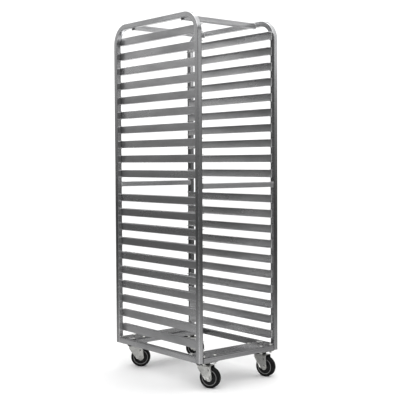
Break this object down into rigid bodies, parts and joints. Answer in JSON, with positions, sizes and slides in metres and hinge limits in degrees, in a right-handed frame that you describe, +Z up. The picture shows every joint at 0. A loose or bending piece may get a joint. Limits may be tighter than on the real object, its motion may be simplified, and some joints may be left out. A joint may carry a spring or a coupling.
{
  "type": "sheet pan rack",
  "caption": "Tall open rolling rack of square tube with paired channel slides for sheet pans, on swivel casters.",
  "frame": {"origin": "middle of the footprint at rest, on the floor, counting the front wheels that stand ahead of the frame", "axes": "+Z up, +X to the right and +Y to the back, seen from the loading end that faces the viewer"},
  "size_m": [0.5144, 0.7222, 1.7905],
  "materials": {
    "aluminium": "mill finish extruded aluminium, semi-bright, welded",
    "zinc": "bright zinc plated pressed steel",
    "rubber": "black rubber tread on a black core"
  },
  "bodies": {
    "rack": {"side_frame_left": "aluminium", "side_frame_right": "aluminium", "top_bar_front": "aluminium", "top_bar_rear": "aluminium", "mid_brace_front": "aluminium", "mid_brace_rear": "aluminium", "caster_channel_front": "aluminium", "caster_channel_rear": "aluminium", "slide_left_01": "aluminium", "slide_left_02": "aluminium", "slide_left_03": "aluminium", "slide_left_04": "aluminium", "slide_left_05": "aluminium", "slide_left_06": "aluminium", "slide_left_07": "aluminium", "slide_left_08": "aluminium", "slide_left_09": "aluminium", "slide_left_10": "aluminium", "slide_left_11": "aluminium", "slide_left_12": "aluminium", "slide_left_13": "aluminium", "slide_left_14": "aluminium", "slide_left_15": "aluminium", "slide_left_16": "aluminium", "slide_left_17": "aluminium", "slide_left_18": "aluminium", "slide_left_19": "aluminium", "slide_left_20": "aluminium", "slide_right_01": "aluminium", "slide_right_02": "aluminium", "slide_right_03": "aluminium", "slide_right_04": "aluminium", "slide_right_05": "aluminium", "slide_right_06": "aluminium", "slide_right_07": "aluminium", "slide_right_08": "aluminium", "slide_right_09": "aluminium", "slide_right_10": "aluminium", "slide_right_11": "aluminium", "slide_right_12": "aluminium", "slide_right_13": "aluminium", "slide_right_14": "aluminium", "slide_right_15": "aluminium", "slide_right_16": "aluminium", "slide_right_17": "aluminium", "slide_right_18": "aluminium", "slide_right_19": "aluminium", "slide_right_20": "aluminium", "caster_plate_front_left": "zinc", "caster_plate_front_right": "zinc", "caster_plate_rear_left": "zinc", "caster_plate_rear_right": "zinc"},
    "fork_front_left": {"caster_fork_front_left": "zinc"},
    "wheel_front_left": {"caster_wheel_front_left": "rubber"},
    "fork_front_right": {"caster_fork_front_right": "zinc"},
    "wheel_front_right": {"caster_wheel_front_right": "rubber"},
    "fork_rear_left": {"caster_fork_rear_left": "zinc"},
    "wheel_rear_left": {"caster_wheel_rear_left": "rubber"},
    "fork_rear_right": {"caster_fork_rear_right": "zinc"},
    "wheel_rear_right": {"caster_wheel_rear_right": "rubber"}
  },
  "joints": [
    {"name": "swivel_front_left", "type": "hinge", "parent": "rack", "child": "fork_front_left", "pos_m": [-0.18548, -0.27392, 0.118], "axis": [0, 0, 1], "continuous": true},
    {"name": "roll_front_left", "type": "hinge", "parent": "fork_front_left", "child": "wheel_front_left", "pos_m": [-0.16947, -0.30673, 0.0508], "axis": [0.8988, 0.4384, 0], "continuous": true},
    {"name": "swivel_front_right", "type": "hinge", "parent": "rack", "child": "fork_front_right", "pos_m": [0.18548, -0.27392, 0.118], "axis": [0, 0, 1], "continuous": true},
    {"name": "roll_front_right", "type": "hinge", "parent": "fork_front_right", "child": "wheel_front_right", "pos_m": [0.19492, -0.30918, 0.0508], "axis": [0.9659, 0.2588, 0], "continuous": true},
    {"name": "swivel_rear_left", "type": "hinge", "parent": "rack", "child": "fork_rear_left", "pos_m": [-0.18548, 0.30393, 0.118], "axis": [0, 0, 1], "continuous": true},
    {"name": "roll_rear_left", "type": "hinge", "parent": "fork_rear_left", "child": "wheel_rear_left", "pos_m": [-0.15793, 0.27998, 0.0508], "axis": [0.6561, 0.7547, 0], "continuous": true},
    {"name": "swivel_rear_right", "type": "hinge", "parent": "rack", "child": "fork_rear_right", "pos_m": [0.18548, 0.30393, 0.118], "axis": [0, 0, 1], "continuous": true},
    {"name": "roll_rear_right", "type": "hinge", "parent": "fork_rear_right", "child": "wheel_rear_right", "pos_m": [0.21173, 0.27857, 0.0508], "axis": [0.6947, 0.7193, 0], "continuous": true}
  ]
}
